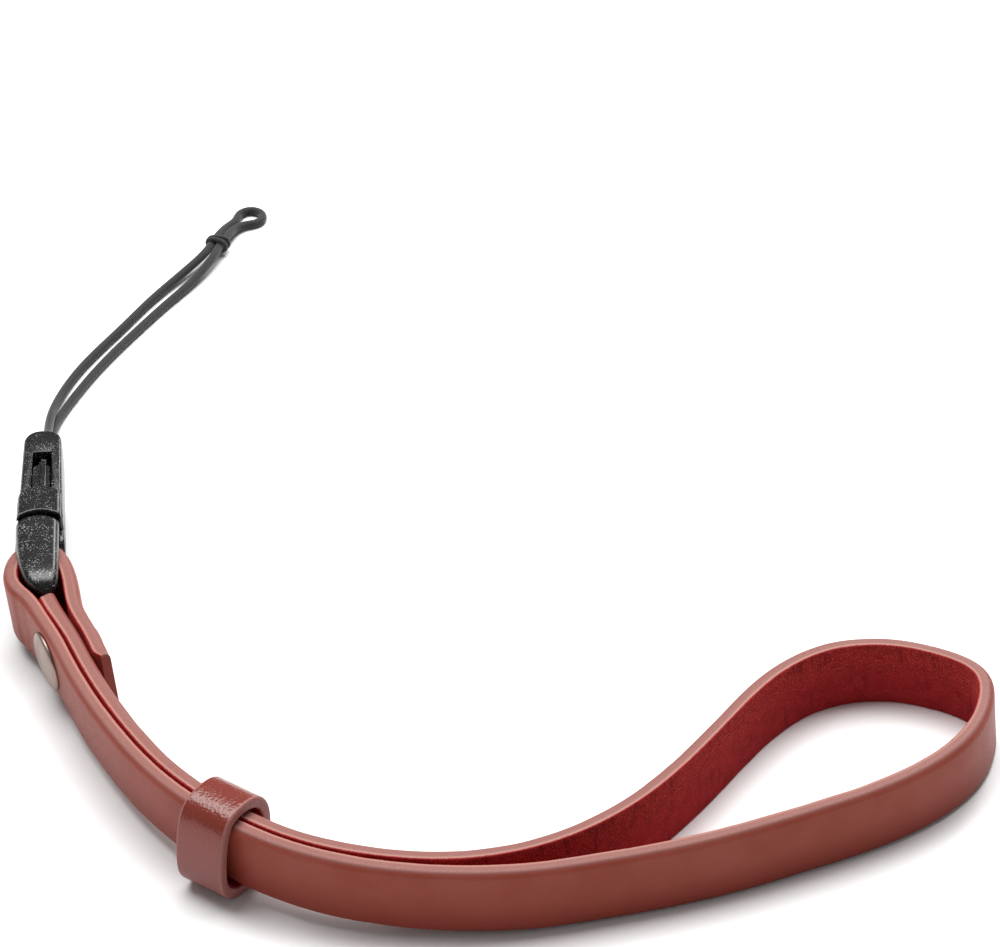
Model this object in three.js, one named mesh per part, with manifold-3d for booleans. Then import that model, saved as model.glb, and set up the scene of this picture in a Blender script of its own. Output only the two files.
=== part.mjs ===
// A leather wrist strap for a small camera, standing on the edge of its band.
//
// One long leather band is folded over the bar of a small side-release buckle, riveted to
// itself, gathered by a loose keeper ring, and opened into the loop that the hand goes through.
// A thin cord loop leaves the far end of the buckle and lies on the surface.
//
// Millimetres, +Z up, the surface at z = 0, the origin below the middle of the strap and buckle.

import * as THREE from "three";
import { mergeVertices } from "three/addons/utils/BufferGeometryUtils.js";
import Module from "manifold-3d";

const wasm = await Module();
wasm.setup();

// ---------------------------------------------------------------- driving sizes

const BAND = { width: 9, wall: 1.9, outerRound: 0.9, innerRound: 0.3, step: 1.7 };
const CLEAR = 0.3; // running gap between pieces that touch

// The loose ring: its place on the seam, its turn from the band's direction in degrees, and the
// chamfer of its rims.
const KEEPER = { x: -31.35, y: -31.35, length: 6.8, turn: 3, edge: 0.25 };

const RIVET = {
  x: -52.7,
  y: 2.75,
  capRadius: 3.7,
  capHeight: 1.0,
  backRadius: 2.4,
  backHeight: 0.6,
  postRadius: 1.0,
  sides: 20,
};

const BUCKLE = {
  x: -55.65, // its own frame starts between the layers, below the rails' ends
  y: 7.6,
  turn: 3.46, // degrees about +Z
  height: 12.4,
  thickness: 6,
  round: 0.8,
};

const CORD = { diameter: 1.2, sides: 8, steps: 78 };

// The band stands this high over the surface where the keeper and the buckle carry it.
const LIFT = 1.9;

const middle = BUCKLE.height / 2;

// ---------------------------------------------------------------- the band's route
//
// Each row is a post that pulls a smooth line after it. The line is the suede side of the band,
// seen from above, and low is the height of the band's lower edge.

// From the cut tail, up past the rivet, and round the buckle's bar.
const WRAP = [
  { x: -45.8, y: -8.4, low: LIFT },
  { x: -47.9, y: -3.1, low: LIFT },
  { x: -49.9, y: 2.7, low: LIFT },
  { x: -52.3, y: 7.2, low: LIFT },
  { x: -52.9, y: 12.5, low: LIFT },
  { x: -54.4, y: 17.7, low: LIFT },
  { x: -56.3, y: 19.8, low: LIFT },
  { x: -58.7, y: 18.0, low: LIFT },
  { x: -59.1, y: 12.8, low: LIFT },
  { x: -56.4, y: 10.3, low: LIFT },
];

// The seam where two layers lie suede to suede. Each layer keeps the distance part from it.
const SEAM = [
  { x: -54.6, y: 6.6, low: LIFT, part: 0.15 },
  { x: -51.9, y: 1.3, low: LIFT, part: 0.15 },
  { x: -49.1, y: -6.4, low: LIFT, part: 0.15 },
  { x: -43.3, y: -17.6, low: LIFT, part: 0.15 },
  { x: -37.0, y: -26.7, low: LIFT, part: 0.15 },
  { x: -28.0, y: -34.6, low: LIFT, part: 0.15 },
  { x: -19.5, y: -38.7, low: 1.5, part: 0.15 },
  { x: -10.0, y: -40.4, low: 0.9, part: 0.35 },
];

// The open loop, along its near side, round its tight end and back along its far side.
const LOOP = [
  { x: 2.0, y: -40.9, low: 0.4 },
  { x: 12.5, y: -38.4, low: 0.1 },
  { x: 23.5, y: -35.8, low: 0 },
  { x: 35.7, y: -30.9, low: 0 },
  { x: 47.5, y: -25.8, low: 0 },
  { x: 56.4, y: -18.4, low: 0 },
  { x: 59.1, y: -9.8, low: 0 },
  { x: 58.2, y: -5.8, low: 0 },
  { x: 53.0, y: -2.8, low: 0 },
  { x: 48.0, y: -1.2, low: 0 },
  { x: 41.0, y: -1.7, low: 0 },
  { x: 34.0, y: -6.8, low: 0 },
  { x: 27.6, y: -16.5, low: 0 },
  { x: 19.2, y: -28.3, low: 0 },
  { x: 9.0, y: -36.4, low: 0.2 },
  { x: -1.5, y: -39.9, low: 0.5 },
];

// The hidden end of the band, held under the rivet between the other two layers.
const END = [
  { x: -55.35, y: 8.95, low: LIFT },
  { x: -56.5, y: 11.8, low: LIFT },
];

// The cord's loop, from the buckle's eyelet, out to its far eye and back.
const CORD_POSTS = [
  { x: -57.7, y: 39.1, z: 6.9 },
  { x: -57.8, y: 40.5, z: 7.0 },
  { x: -58.1, y: 44.3, z: 7.0 },
  { x: -58.3, y: 47.8, z: 6.4 },
  { x: -58.5, y: 51.1, z: 4.7 },
  { x: -58.8, y: 54.2, z: 3.2 },
  { x: -59.1, y: 57.8, z: 2.2 },
  { x: -59.1, y: 61.1, z: 1.8 },
  { x: -58.7, y: 66.3, z: 0.7 },
  { x: -56.7, y: 72.8, z: 0.6 },
  { x: -53.8, y: 78.6, z: 0.6 },
  { x: -50.6, y: 84.3, z: 0.6 },
  { x: -47.7, y: 90.2, z: 0.6 },
  { x: -44.2, y: 95.6, z: 0.8 },
  { x: -40.1, y: 100.85, z: 1.6 },
  { x: -39.05, y: 104.5, z: 1.45 },
  { x: -38.25, y: 106.85, z: 1.3 },
  { x: -37.35, y: 109.3, z: 0.85 },
  { x: -36.05, y: 111.05, z: 0.65 },
  { x: -35.9, y: 113.05, z: 0.6 },
  { x: -34.5, y: 114.25, z: 0.6 },
  { x: -32.75, y: 113.8, z: 0.6 },
  { x: -31.95, y: 112.2, z: 0.6 },
  { x: -32.8, y: 110.5, z: 0.6 },
  { x: -34.7, y: 110.2, z: 0.65 },
  { x: -36.3, y: 108.8, z: 0.85 },
  { x: -36.95, y: 106.35, z: 1.3 },
  { x: -38.05, y: 103.95, z: 1.45 },
  { x: -38.5, y: 100.8, z: 1.65 },
  { x: -41.4, y: 95.2, z: 0.8 },
  { x: -45.1, y: 89.7, z: 0.6 },
  { x: -48.3, y: 84.0, z: 0.6 },
  { x: -51.5, y: 78.2, z: 0.6 },
  { x: -54.3, y: 72.5, z: 0.6 },
  { x: -56.8, y: 66.2, z: 0.6 },
  { x: -58.5, y: 61.2, z: 0.6 },
  { x: -58.8, y: 57.9, z: 0.9 },
  { x: -58.4, y: 54.3, z: 1.6 },
  { x: -58.0, y: 51.1, z: 3.0 },
  { x: -57.9, y: 47.8, z: 4.7 },
  { x: -57.7, y: 44.3, z: 5.4 },
  { x: -57.5, y: 40.5, z: 5.4 },
  { x: -57.3, y: 39.1, z: 5.2 },
];

// The knot's band round both strands; pair is half the width of the two strands side by side.
const HITCH = {
  x: -38.4,
  y: 103.95,
  z: 1.5,
  heading: 70,
  length: 1.5,
  wall: 0.5,
  pair: 1.22,
  corner: 0.6,
  edge: 0.2,
};

// ---------------------------------------------------------------- curves and shells

class PostCurve extends THREE.Curve {
  // A uniform cubic B-spline: smooth everywhere, pulled by its posts.
  constructor(posts) {
    super();
    this.posts = posts;
    this.arcLengthDivisions = 2400;
  }

  getPoint(t, target = new THREE.Vector3()) {
    const spans = this.posts.length - 3;
    const span = Math.min(Math.floor(t * spans), spans - 1);
    const s = t * spans - span;
    const weights = [
      (1 - s) ** 3 / 6,
      (3 * s ** 3 - 6 * s ** 2 + 4) / 6,
      (-3 * s ** 3 + 3 * s ** 2 + 3 * s + 1) / 6,
      s ** 3 / 6,
    ];
    target.set(0, 0, 0);
    weights.forEach((weight, i) => target.addScaledVector(this.posts[span + i], weight));
    return target;
  }
}

function solid(geometry) {
  const bare = geometry.clone();
  bare.deleteAttribute("normal");
  bare.deleteAttribute("uv");
  const merged = mergeVertices(bare, 1e-5);
  return new wasm.Manifold(new wasm.Mesh({
    numProp: 3,
    vertProperties: new Float32Array(merged.attributes.position.array),
    triVerts: new Uint32Array(merged.index.array),
  }));
}

function geometryOf(manifold) {
  const mesh = manifold.getMesh();
  const geometry = new THREE.BufferGeometry();
  geometry.setAttribute("position", new THREE.BufferAttribute(mesh.vertProperties, 3));
  geometry.setIndex(new THREE.BufferAttribute(mesh.triVerts, 1));
  geometry.computeVertexNormals();
  return geometry;
}

function unite(geometries) {
  return geometries.map(solid).reduce((whole, piece) => whole.add(piece));
}

function roundedBox(x0, y0, x1, y1, radii, segments = 3) {
  // Counter-clockwise points from the low corner; radii for the corners in the same order.
  const corners = [[x0, y0, 1, 1, 180], [x1, y0, -1, 1, 270], [x1, y1, -1, -1, 0], [x0, y1, 1, -1, 90]];
  return corners.flatMap(([x, y, dx, dy, from], i) => {
    const r = radii[i];
    return Array.from({ length: segments + 1 }, (_, k) => {
      const a = THREE.MathUtils.degToRad(from + (90 * k) / segments);
      return new THREE.Vector2(x + dx * r + r * Math.cos(a), y + dy * r + r * Math.sin(a));
    });
  });
}

function sweptBand(stations, section) {
  // A closed shell: the section at every station, fanned shut at both ends.
  const position = [];
  const index = [];
  const n = section.length;
  for (const { point, outward } of stations) {
    for (const p of section) {
      position.push(point.x + outward.x * p.x, point.y + outward.y * p.x, point.z + p.y);
    }
  }
  for (let i = 0; i < stations.length - 1; i++) {
    for (let j = 0; j < n; j++) {
      const a = i * n + j;
      const b = i * n + ((j + 1) % n);
      index.push(a, a + n, b + n, a, b + n, b);
    }
  }
  const last = (stations.length - 1) * n;
  for (let j = 1; j < n - 1; j++) {
    index.push(0, j, j + 1);
    index.push(last, last + j + 1, last + j);
  }
  const geometry = new THREE.BufferGeometry();
  geometry.setAttribute("position", new THREE.Float32BufferAttribute(position, 3));
  geometry.setIndex(index);
  return geometry;
}

const AXES = {
  x: new THREE.Matrix4().makeBasis(
    new THREE.Vector3(0, 1, 0), new THREE.Vector3(0, 0, 1), new THREE.Vector3(1, 0, 0)),
  z: new THREE.Matrix4(),
};

function slab(points, axis, from, to, bevel = 0) {
  // An outline in the plane across the axis, (y, z) for x and (x, y) for z, between two heights.
  const geometry = new THREE.ExtrudeGeometry(new THREE.Shape(points), {
    depth: to - from - 2 * bevel,
    bevelEnabled: bevel > 0,
    bevelThickness: bevel,
    bevelSize: bevel,
    bevelOffset: -bevel,
    bevelSegments: 3,
  });
  return geometry.translate(0, 0, from + bevel).applyMatrix4(AXES[axis]);
}

function box(x0, x1, y0, y1, z0, z1) {
  return new THREE.BoxGeometry(x1 - x0, y1 - y0, z1 - z0)
    .translate((x0 + x1) / 2, (y0 + y1) / 2, (z0 + z1) / 2);
}

function turnedOver(geometry) {
  // The same piece on the buckle's other narrow side.
  return geometry.clone().rotateY(Math.PI).translate(0, 0, BUCKLE.height);
}

// ---------------------------------------------------------------- the leather band

function layer(rows, side) {
  // One layer's posts beside the seam: side is -1 for the near layer and 1 for the far one.
  return rows.map((row, i) => {
    const before = rows[Math.max(i - 1, 0)];
    const after = rows[Math.min(i + 1, rows.length - 1)];
    const along = new THREE.Vector2(after.x - before.x, after.y - before.y).normalize();
    const shift = side * row.part;
    return { x: row.x - along.y * shift, y: row.y + along.x * shift, low: row.low };
  });
}

const bandPosts = [...WRAP, ...layer(SEAM, -1), ...LOOP, ...layer(SEAM, 1).reverse(), ...END];
const bandCurve = new PostCurve(bandPosts.map((row) => new THREE.Vector3(row.x, row.y, row.low)));

function outwardAt(tangent) {
  // The grain side is on the right of the route.
  return new THREE.Vector3(tangent.y, -tangent.x, 0).normalize();
}

function bandStations() {
  const count = Math.round(bandCurve.getLength() / BAND.step);
  return Array.from({ length: count + 1 }, (_, i) => {
    const point = bandCurve.getPointAt(i / count);
    return { point, outward: outwardAt(bandCurve.getTangentAt(i / count)) };
  });
}

function headingNear(x, y) {
  // The direction of the near layer where it passes closest to a place.
  const stations = bandStations().slice(0, -1);
  const half = stations.slice(0, Math.floor(stations.length / 2));
  const away = (s) => Math.hypot(s.point.x - x, s.point.y - y);
  const nearest = half.reduce((best, s) => (away(s) < away(best) ? s : best));
  return new THREE.Vector3(-nearest.outward.y, nearest.outward.x, 0);
}

const rivetAlong = headingNear(RIVET.x, RIVET.y);
const rivetAxis = new THREE.Vector3(rivetAlong.y, -rivetAlong.x, 0);
const rivetPlace = new THREE.Vector3(RIVET.x, RIVET.y, LIFT + BAND.width / 2);

function rivetPiece(profile) {
  // A turned piece whose heights run along the rivet, from the seam towards the near side.
  const turn = new THREE.Quaternion().setFromUnitVectors(new THREE.Vector3(0, 1, 0), rivetAxis);
  const points = profile.map(([r, h]) => new THREE.Vector2(r, h));
  return new THREE.LatheGeometry(points, RIVET.sides)
    .applyQuaternion(turn)
    .translate(rivetPlace.x, rivetPlace.y, rivetPlace.z);
}

function strapBand() {
  const { width, wall, outerRound, innerRound } = BAND;
  const section = roundedBox(0, 0, wall, width, [innerRound, outerRound, outerRound, innerRound], 2);
  const hole = RIVET.postRadius + CLEAR;
  const drill = rivetPiece([[0, -8], [hole, -8], [hole, 6], [0, 6]]);
  return geometryOf(solid(sweptBand(bandStations(), section)).subtract(solid(drill)));
}

// ---------------------------------------------------------------- the keeper ring

// The ring's middle line, closed, seen along the band: across it, up from the surface, and how
// thick the wall is there.
const OVAL = [
  { across: -2.5, up: 11.8, wall: 1.3 },
  { across: 0, up: 12.15, wall: 1.4 },
  { across: 2.5, up: 11.8, wall: 1.4 },
  { across: 4.0, up: 9.9, wall: 1.4 },
  { across: 4.1, up: 7.4, wall: 1.4 },
  { across: 4.0, up: 5.2, wall: 1.4 },
  { across: 3.9, up: 2.8, wall: 1.4 },
  { across: 2.5, up: 0.7, wall: 1.4 },
  { across: 0, up: 0.7, wall: 1.4 },
  { across: -2.4, up: 0.7, wall: 1.4 },
  { across: -4.2, up: 2.5, wall: 1.3 },
  { across: -4.2, up: 5.0, wall: 1.3 },
  { across: -4.0, up: 7.2, wall: 1.3 },
  { across: -3.7, up: 9.6, wall: 1.3 },
];
const OVAL_SIDES = 42;

function keeper() {
  const posts = OVAL.map(({ across, up, wall }) => new THREE.Vector3(across, up, wall));
  const line = new PostCurve([...posts, ...posts.slice(0, 3)]);
  const outer = [];
  const inner = [];
  for (let i = 0; i < OVAL_SIDES; i++) {
    const { x, y, z: wall } = line.getPoint(i / OVAL_SIDES);
    const way = line.getTangent(i / OVAL_SIDES);
    const out = new THREE.Vector2(-way.y, way.x).setLength(wall / 2);
    outer.push(new THREE.Vector2(x + out.x, y + out.y));
    inner.push(new THREE.Vector2(x - out.x, y - out.y));
  }
  const shape = new THREE.Shape(outer);
  shape.holes.push(new THREE.Path(inner.reverse()));
  const { length, edge } = KEEPER;
  const ring = new THREE.ExtrudeGeometry(shape, {
    depth: length - 2 * edge,
    bevelThickness: edge,
    bevelSize: edge,
    bevelOffset: -edge,
    bevelSegments: 1,
  }).translate(0, 0, edge - length / 2);
  const along = headingNear(KEEPER.x, KEEPER.y)
    .applyAxisAngle(new THREE.Vector3(0, 0, 1), THREE.MathUtils.degToRad(KEEPER.turn));
  const across = new THREE.Vector3(-along.y, along.x, 0);
  const stand = new THREE.Matrix4().makeBasis(across, new THREE.Vector3(0, 0, 1), along);
  return ring.applyMatrix4(stand).translate(KEEPER.x, KEEPER.y, 0);
}

function offset(points, distance) {
  // A counter-clockwise outline moved outwards by a distance, without its repeated points.
  const kept = points.filter((p, i) => p.distanceTo(points[(i + 1) % points.length]) > 0.02);
  return kept.map((p, i) => {
    const before = kept[(i - 1 + kept.length) % kept.length];
    const after = kept[(i + 1) % kept.length];
    const along = new THREE.Vector2().subVectors(after, before).normalize();
    return new THREE.Vector2(p.x + along.y * distance, p.y - along.x * distance);
  });
}

// ---------------------------------------------------------------- the rivet

const nearSkin = CLEAR / 2 + BAND.wall;
const farSkin = CLEAR / 2 + 2 * BAND.wall + CLEAR;
const seat = 0.42; // a cap's flat side over a gently curved layer

function rivetCap() {
  const { capRadius: r, capHeight: h, postRadius } = RIVET;
  const base = nearSkin + seat;
  const bore = postRadius + CLEAR;
  return rivetPiece([
    [bore, base], [r - 0.25, base], [r, base + 0.3], [r * 0.92, base + h * 0.55],
    [r * 0.7, base + h * 0.82], [r * 0.38, base + h * 0.97], [0, base + h],
    [0, base + h * 0.5], [bore, base + h * 0.5], [bore, base],
  ]);
}

function rivetPost() {
  const { capHeight, backRadius: r, backHeight: h, postRadius } = RIVET;
  const base = -farSkin - seat;
  const tip = nearSkin + seat + capHeight * 0.5 - CLEAR;
  return rivetPiece([
    [0, base - h], [r * 0.6, base - h * 0.85], [r * 0.9, base - h * 0.5],
    [r, base - h * 0.25], [r - 0.2, base], [postRadius, base], [postRadius, tip], [0, tip],
  ]);
}

// ---------------------------------------------------------------- the buckle
//
// In its own frame the buckle lies along +Y, its narrow sides face up and down, and x = 0 is its
// middle.

const MOUTH = 16.2;
const FAR_END = 35.7;
const WINDOW = { half: 1.35, from: 22.3, to: 30.4 };
const HOLLOW = { half: 1.7, skin: 1.5, to: 31.5 }; // where the prongs go in
const EYELET = { half: 1.1, height: 3.4, from: 32.6 }; // where the cord comes out
const TONGUE = { reach: 2.8, height: 6.4, thickness: 1 }; // the step at the mouth, on both broad sides
const BAR = { x0: -1.85, x1: 1.75, from: 5.4, to: 10, inset: 0.8 }; // the post the band goes round
const BASE = { half: 1.55, depth: 2 }; // joins the rails across the mouth
const RAIL = 1.2; // the rails' thickness
const HOOK = { x0: -0.2, x1: 1.9 }; // the rails' ends dip between the band's layers

function socket() {
  const { height, thickness, round } = BUCKLE;
  const half = thickness / 2;
  const shell = slab(
    roundedBox(MOUTH, 0, FAR_END, height, [0.9, 1.5, 1.5, 0.9], 4), "x", -half, half, round);
  const low = middle - TONGUE.height / 2;
  const tongue = slab(
    roundedBox(MOUTH - TONGUE.reach, low, MOUTH + 1.5, low + TONGUE.height, [1.6, 0.5, 0.5, 1.6]),
    "x", half - TONGUE.thickness - 0.1, half - 0.1, 0.2);
  const whole = unite([shell, tongue, turnedOver(tongue)]);
  const hollow = box(
    -HOLLOW.half, HOLLOW.half, MOUTH - 1, HOLLOW.to, HOLLOW.skin, height - HOLLOW.skin);
  const windows = box(-WINDOW.half, WINDOW.half, WINDOW.from, WINDOW.to, -1, height + 1);
  const eyelet = box(
    -EYELET.half, EYELET.half, EYELET.from, FAR_END + 1,
    middle - EYELET.height / 2, middle + EYELET.height / 2);
  return geometryOf(whole.subtract(unite([hollow, windows])).subtract(solid(eyelet)));
}

function rail(end) {
  const { height } = BUCKLE;
  const plan = [
    [0.7, 2.1], [1.7, 2.4], [2.25, 3.3], [2.5, 6], [2.65, 10], [2.65, end],
    [-2.75, end], [-2.7, 10], [-2.4, 7], [-1.8, 4.6], [-1.1, 3.1], [-0.3, 2.4],
  ].map(([x, y]) => new THREE.Vector2(x, y));
  const hook = [
    [2.1, 10.3], [2.5, 9.8], [3.4, 10.2], [4.6, 11.3], [4.6, 11.9], [2.6, 11.9], [2.2, 11.2],
  ].map(([y, z]) => new THREE.Vector2(y, z));
  const below = hook.map(({ x: y, y: z }) => new THREE.Vector2(y, height - z)).reverse();
  return [
    slab(plan, "z", height - RAIL, height, 0.3),
    slab(plan, "z", 0, RAIL, 0.3),
    slab(hook, "x", HOOK.x0, HOOK.x1, 0.2),
    slab(below, "x", HOOK.x0, HOOK.x1, 0.2),
  ];
}

function plug() {
  const { height } = BUCKLE;
  const end = MOUTH - CLEAR;
  const bar = slab(
    roundedBox(BAR.x0, BAR.from, BAR.x1, BAR.to, [1.75, 1.75, 1.75, 1.75]),
    "z", BAR.inset, height - BAR.inset);
  const base = box(-BASE.half, BASE.half, end - BASE.depth, end, BAR.inset, height - BAR.inset);
  const reach = [
    [end - 0.5, 8.9], [22.5, 8.9], [29.0, 8.9], [29.7, 9.9], [29.3, 11.0],
    [27.0, 12.0], [22.9, 11.6], [22.5, 10.5], [end - 0.5, 10.5],
  ].map(([y, z]) => new THREE.Vector2(y, z));
  const arrow = [
    [-1.05, end - 0.6], [1.05, end - 0.6], [1.05, 27.4], [0.4, 28.3], [0, 29.6],
    [-0.4, 28.3], [-1.05, 27.4],
  ].map(([x, y]) => new THREE.Vector2(x, y));
  const prong = geometryOf(
    solid(slab(reach, "x", -2, 2)).intersect(solid(slab(arrow, "z", 0, height))));
  return geometryOf(unite([...rail(end), bar, base, prong, turnedOver(prong)]));
}

// ---------------------------------------------------------------- the cord

function cord() {
  const posts = CORD_POSTS.map(({ x, y, z }) => new THREE.Vector3(x, y, z));
  const r = CORD.diameter / 2;
  const round = Array.from({ length: CORD.sides }, (_, k) => {
    const a = (2 * Math.PI * k) / CORD.sides;
    return new THREE.Vector2(r * Math.cos(a), r * Math.sin(a));
  });
  return new THREE.ExtrudeGeometry(new THREE.Shape(round), {
    steps: CORD.steps,
    extrudePath: new PostCurve(posts),
    bevelEnabled: false,
  });
}

function cordHitch() {
  // The band of the knot, snug round both strands.
  const { length, wall, pair, corner, edge } = HITCH;
  const width = pair + CLEAR;
  const height = CORD.diameter / 2 + CLEAR;
  const inside = roundedBox(-width, -height, width, height, Array(4).fill(corner));
  const shape = new THREE.Shape(offset(inside, wall));
  shape.holes.push(new THREE.Path(inside.reverse()));
  const ring = new THREE.ExtrudeGeometry(shape, {
    depth: length - 2 * edge,
    bevelThickness: edge,
    bevelSize: edge,
    bevelOffset: -edge,
    bevelSegments: 1,
  }).translate(0, 0, edge - length / 2);
  return ring
    .rotateX(Math.PI / 2)
    .rotateZ(THREE.MathUtils.degToRad(HITCH.heading - 90))
    .translate(HITCH.x, HITCH.y, HITCH.z);
}

// ---------------------------------------------------------------- the assembly

function finish(color, roughness, metalness = 0) {
  return new THREE.MeshStandardMaterial({ color, roughness, metalness });
}

const FINISHES = {
  leather: finish(0x8c544b, 0.55),
  nickel: finish(0xb4a59b, 0.35, 0.9),
  plastic: finish(0x1c1c1e, 0.5),
  braid: finish(0x1a1a1c, 0.8),
};

function piece(name, geometry, material) {
  const mesh = new THREE.Mesh(geometry, material);
  mesh.name = name;
  return mesh;
}

const strap = new THREE.Group();
strap.add(
  piece("strap_band", strapBand(), FINISHES.leather),
  piece("keeper", keeper(), FINISHES.leather),
  piece("rivet_cap", rivetCap(), FINISHES.nickel),
  piece("rivet_post", rivetPost(), FINISHES.nickel),
);

const buckle = new THREE.Group();
buckle.position.set(BUCKLE.x, BUCKLE.y, 0);
buckle.rotation.z = THREE.MathUtils.degToRad(BUCKLE.turn);
buckle.add(
  piece("buckle_socket", socket(), FINISHES.plastic),
  piece("buckle_plug", plug(), FINISHES.plastic),
);

const cordLoop = new THREE.Group();
cordLoop.add(
  piece("cord", cord(), FINISHES.braid),
  piece("cord_hitch", cordHitch(), FINISHES.braid),
);

const group = new THREE.Group();
group.add(strap, buckle, cordLoop);

export default group;
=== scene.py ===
"""Looks of a leather camera wrist strap, laid out as an add-on and run as a script.

Everything is in metres in the packed model's frame: +Z up, the surface at z = 0. The tables
below are in millimetres and are turned into metres where they are used.
"""

import math

import bmesh
import bpy
import numpy as np
from bpy.props import FloatProperty, FloatVectorProperty, IntProperty, PointerProperty
from bpy.types import Operator, Panel, PropertyGroup
from mathutils import Matrix, Vector


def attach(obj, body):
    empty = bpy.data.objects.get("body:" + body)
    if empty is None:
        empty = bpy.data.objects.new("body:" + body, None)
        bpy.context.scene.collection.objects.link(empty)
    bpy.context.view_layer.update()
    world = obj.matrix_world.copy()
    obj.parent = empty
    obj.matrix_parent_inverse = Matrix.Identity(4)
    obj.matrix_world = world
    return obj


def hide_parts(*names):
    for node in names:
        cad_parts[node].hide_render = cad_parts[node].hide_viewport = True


bl_info = {
    "name": "Camera wrist strap",
    "version": (1, 0, 0),
    "blender": (4, 5, 0),
    "location": "3D View > Sidebar > Wrist strap",
    "description": "Builds the looks of a leather camera wrist strap round its packed frame",
    "category": "Object",
}

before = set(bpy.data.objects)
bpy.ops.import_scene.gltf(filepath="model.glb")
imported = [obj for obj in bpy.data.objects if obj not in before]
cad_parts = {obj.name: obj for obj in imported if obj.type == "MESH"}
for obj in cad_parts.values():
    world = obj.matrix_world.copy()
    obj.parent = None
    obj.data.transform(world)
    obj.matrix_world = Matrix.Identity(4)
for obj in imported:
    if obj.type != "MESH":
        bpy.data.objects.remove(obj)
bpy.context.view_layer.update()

MM = 0.001
WHOLE_TURN = 2 * math.pi


def tint(red, green, blue):
    """A colour given as 0 to 255 display values, in the linear values that shaders use."""
    return tuple(
        v / 12.92 if v <= 0.04045 else ((v + 0.055) / 1.055) ** 2.4
        for v in (red / 255, green / 255, blue / 255)
    )


# ---------------------------------------------------------------- routes
#
# Each row is a post that pulls a smooth line after it, seen from above. The band's line is its
# suede side, and low is the height of its lower edge.

LIFT = 1.9  # the band's height over the surface where the keeper and the buckle carry it

# x, y, low: from the cut tail, past the rivet, and round the buckle's bar
WRAP = (
    (-45.8, -8.4, LIFT), (-47.9, -3.1, LIFT), (-49.9, 2.7, LIFT), (-52.3, 7.2, LIFT),
    (-52.9, 12.5, LIFT), (-54.4, 17.7, LIFT), (-56.3, 19.8, LIFT), (-58.7, 18.0, LIFT),
    (-59.1, 12.8, LIFT), (-56.4, 10.3, LIFT),
)

# x, y, low, part: the seam of two layers, each of which keeps the distance part from it
SEAM = (
    (-54.6, 6.6, LIFT, 0.15), (-51.9, 1.3, LIFT, 0.15), (-49.1, -6.4, LIFT, 0.15),
    (-43.3, -17.6, LIFT, 0.15), (-37.0, -26.7, LIFT, 0.15), (-28.0, -34.6, LIFT, 0.15),
    (-19.5, -38.7, 1.5, 0.15), (-10.0, -40.4, 0.9, 0.35),
)

# x, y, low: the open loop, its near side, its tight end and its far side
LOOP = (
    (2.0, -40.9, 0.4), (12.5, -38.4, 0.1), (23.5, -35.8, 0.0), (35.7, -30.9, 0.0),
    (47.5, -25.8, 0.0), (56.4, -18.4, 0.0), (59.1, -9.8, 0.0), (58.2, -5.8, 0.0),
    (53.0, -2.8, 0.0), (48.0, -1.2, 0.0), (41.0, -1.7, 0.0), (34.0, -6.8, 0.0),
    (27.6, -16.5, 0.0), (19.2, -28.3, 0.0), (9.0, -36.4, 0.2), (-1.5, -39.9, 0.5),
)

# x, y, low: the hidden end between the other two layers
END = ((-55.35, 8.95, LIFT), (-56.5, 11.8, LIFT))

# x, y, z: the cord's loop, from the buckle's eyelet to its far eye and back
CORD = (
    (-57.7, 39.1, 6.9), (-57.8, 40.5, 7.0), (-58.1, 44.3, 7.0), (-58.3, 47.8, 6.4),
    (-58.5, 51.1, 4.7), (-58.8, 54.2, 3.2), (-59.1, 57.8, 2.2), (-59.1, 61.1, 1.8),
    (-58.7, 66.3, 0.7), (-56.7, 72.8, 0.6), (-53.8, 78.6, 0.6), (-50.6, 84.3, 0.6),
    (-47.7, 90.2, 0.6), (-44.2, 95.6, 0.8), (-40.1, 100.85, 1.6), (-39.05, 104.5, 1.45),
    (-38.25, 106.85, 1.3), (-37.35, 109.3, 0.85), (-36.05, 111.05, 0.65), (-35.9, 113.05, 0.6),
    (-34.5, 114.25, 0.6), (-32.75, 113.8, 0.6), (-31.95, 112.2, 0.6), (-32.8, 110.5, 0.6),
    (-34.7, 110.2, 0.65), (-36.3, 108.8, 0.85), (-36.95, 106.35, 1.3), (-38.05, 103.95, 1.45),
    (-38.5, 100.8, 1.65), (-41.4, 95.2, 0.8), (-45.1, 89.7, 0.6), (-48.3, 84.0, 0.6),
    (-51.5, 78.2, 0.6), (-54.3, 72.5, 0.6), (-56.8, 66.2, 0.6), (-58.5, 61.2, 0.6),
    (-58.8, 57.9, 0.9), (-58.4, 54.3, 1.6), (-58.0, 51.1, 3.0), (-57.9, 47.8, 4.7),
    (-57.7, 44.3, 5.4), (-57.5, 40.5, 5.4), (-57.3, 39.1, 5.2),
)

# across, up, wall: the keeper's middle line, seen along the band, and how thick it is there
OVAL = (
    (-2.5, 11.8, 1.3), (0.0, 12.15, 1.4), (2.5, 11.8, 1.5), (4.0, 9.9, 1.5), (4.1, 7.4, 1.5),
    (4.0, 5.2, 1.4), (3.9, 2.8, 1.4), (2.5, 0.7, 1.4), (0.0, 0.7, 1.4), (-2.4, 0.7, 1.4),
    (-4.2, 2.5, 1.3), (-4.25, 5.0, 1.3), (-4.0, 7.2, 1.3), (-3.55, 9.6, 1.3),
)

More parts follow.
